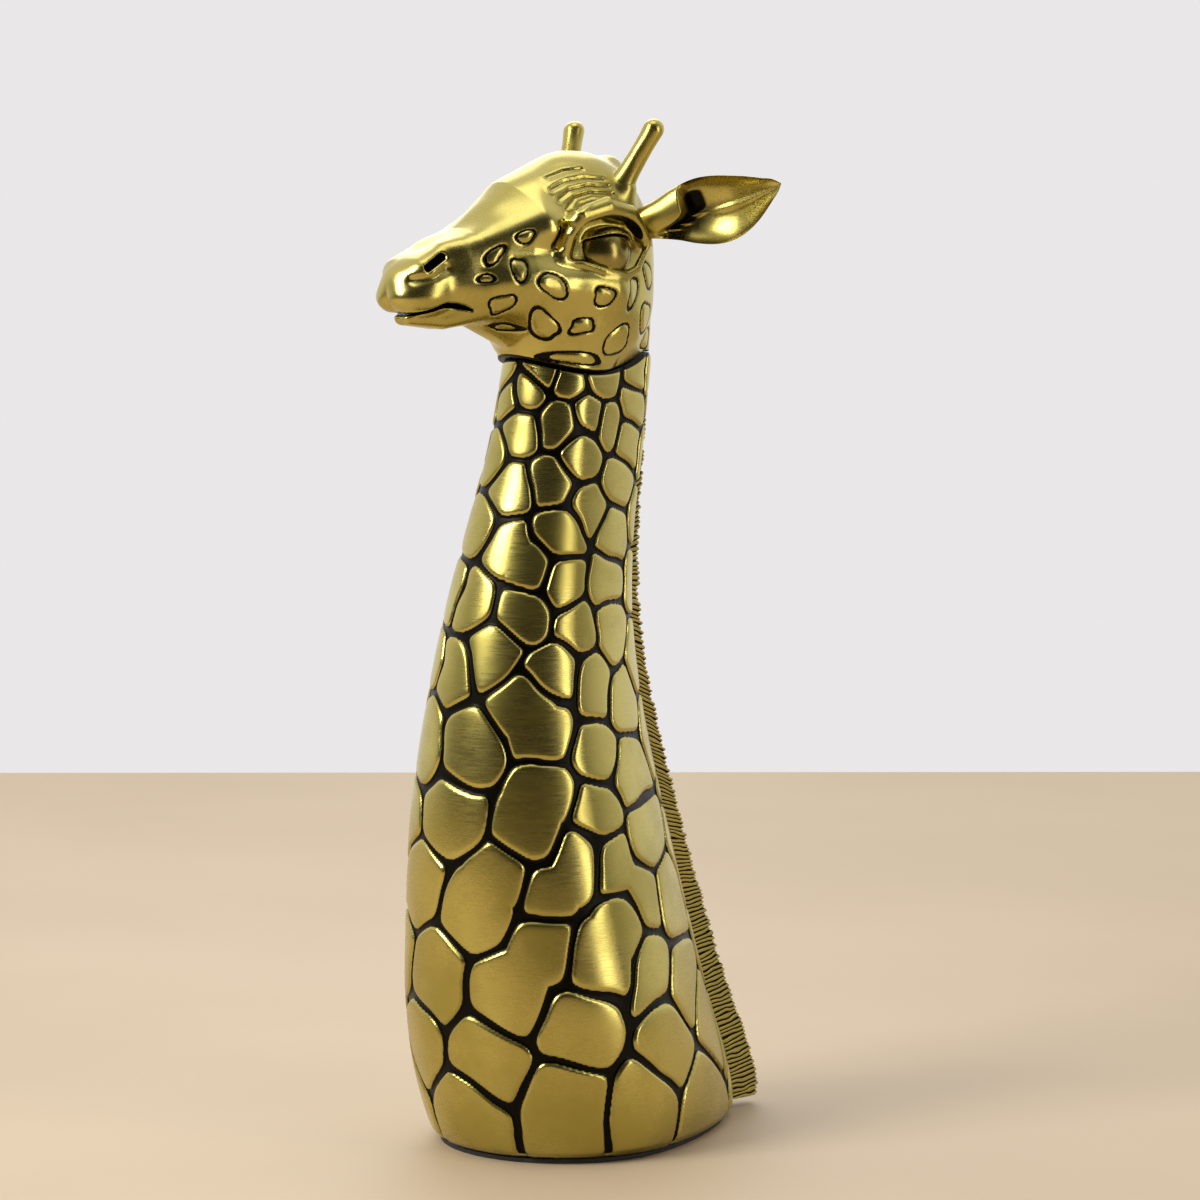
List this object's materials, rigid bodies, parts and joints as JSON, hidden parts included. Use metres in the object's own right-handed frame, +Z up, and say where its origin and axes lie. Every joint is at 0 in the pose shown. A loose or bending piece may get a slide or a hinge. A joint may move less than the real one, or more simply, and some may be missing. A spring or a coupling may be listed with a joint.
{
  "type": "giraffe statue",
  "caption": "Tabletop head-and-neck giraffe statue in antique brass finish, with coat patches divided by dark grooves, horns, ears and a ribbed mane.",
  "frame": {"origin": "Middle of the underside of the felt pad, on the surface the statue stands on, below the axis of the neck's base.", "axes": "+Z is up the neck. The giraffe faces -Y and its left side, ear and horn are on +X. The plane X = 0 is the plane of symmetry."},
  "size_m": [0.1186, 0.1605, 0.3447],
  "materials": {
    "cast_brass": "satin brushed antique brass, dark in the recesses",
    "mane_brass": "darkened antique brass",
    "pin_steel": "plain turned steel",
    "plate_black": "matt moulded sheet",
    "felt": "pressed felt"
  },
  "bodies": {
    "root": {"neck_shell": "cast_brass", "head_shell": "cast_brass", "mane_strip": "mane_brass", "head_crest": "mane_brass", "eye_left": "cast_brass", "horn_left": "cast_brass", "horn_pin_left": "pin_steel", "ear_left": "cast_brass", "ear_pin_left": "pin_steel", "neck_dowel_left": "pin_steel", "eye_right": "cast_brass", "horn_right": "cast_brass", "horn_pin_right": "pin_steel", "ear_right": "cast_brass", "ear_pin_right": "pin_steel", "neck_dowel_right": "pin_steel", "mane_pin_1": "pin_steel", "mane_pin_2": "pin_steel", "mane_pin_3": "pin_steel", "base_screw_1": "pin_steel", "base_screw_2": "pin_steel", "base_screw_3": "pin_steel", "base_plate": "plate_black", "felt_pad": "felt"}
  },
  "joints": []
}
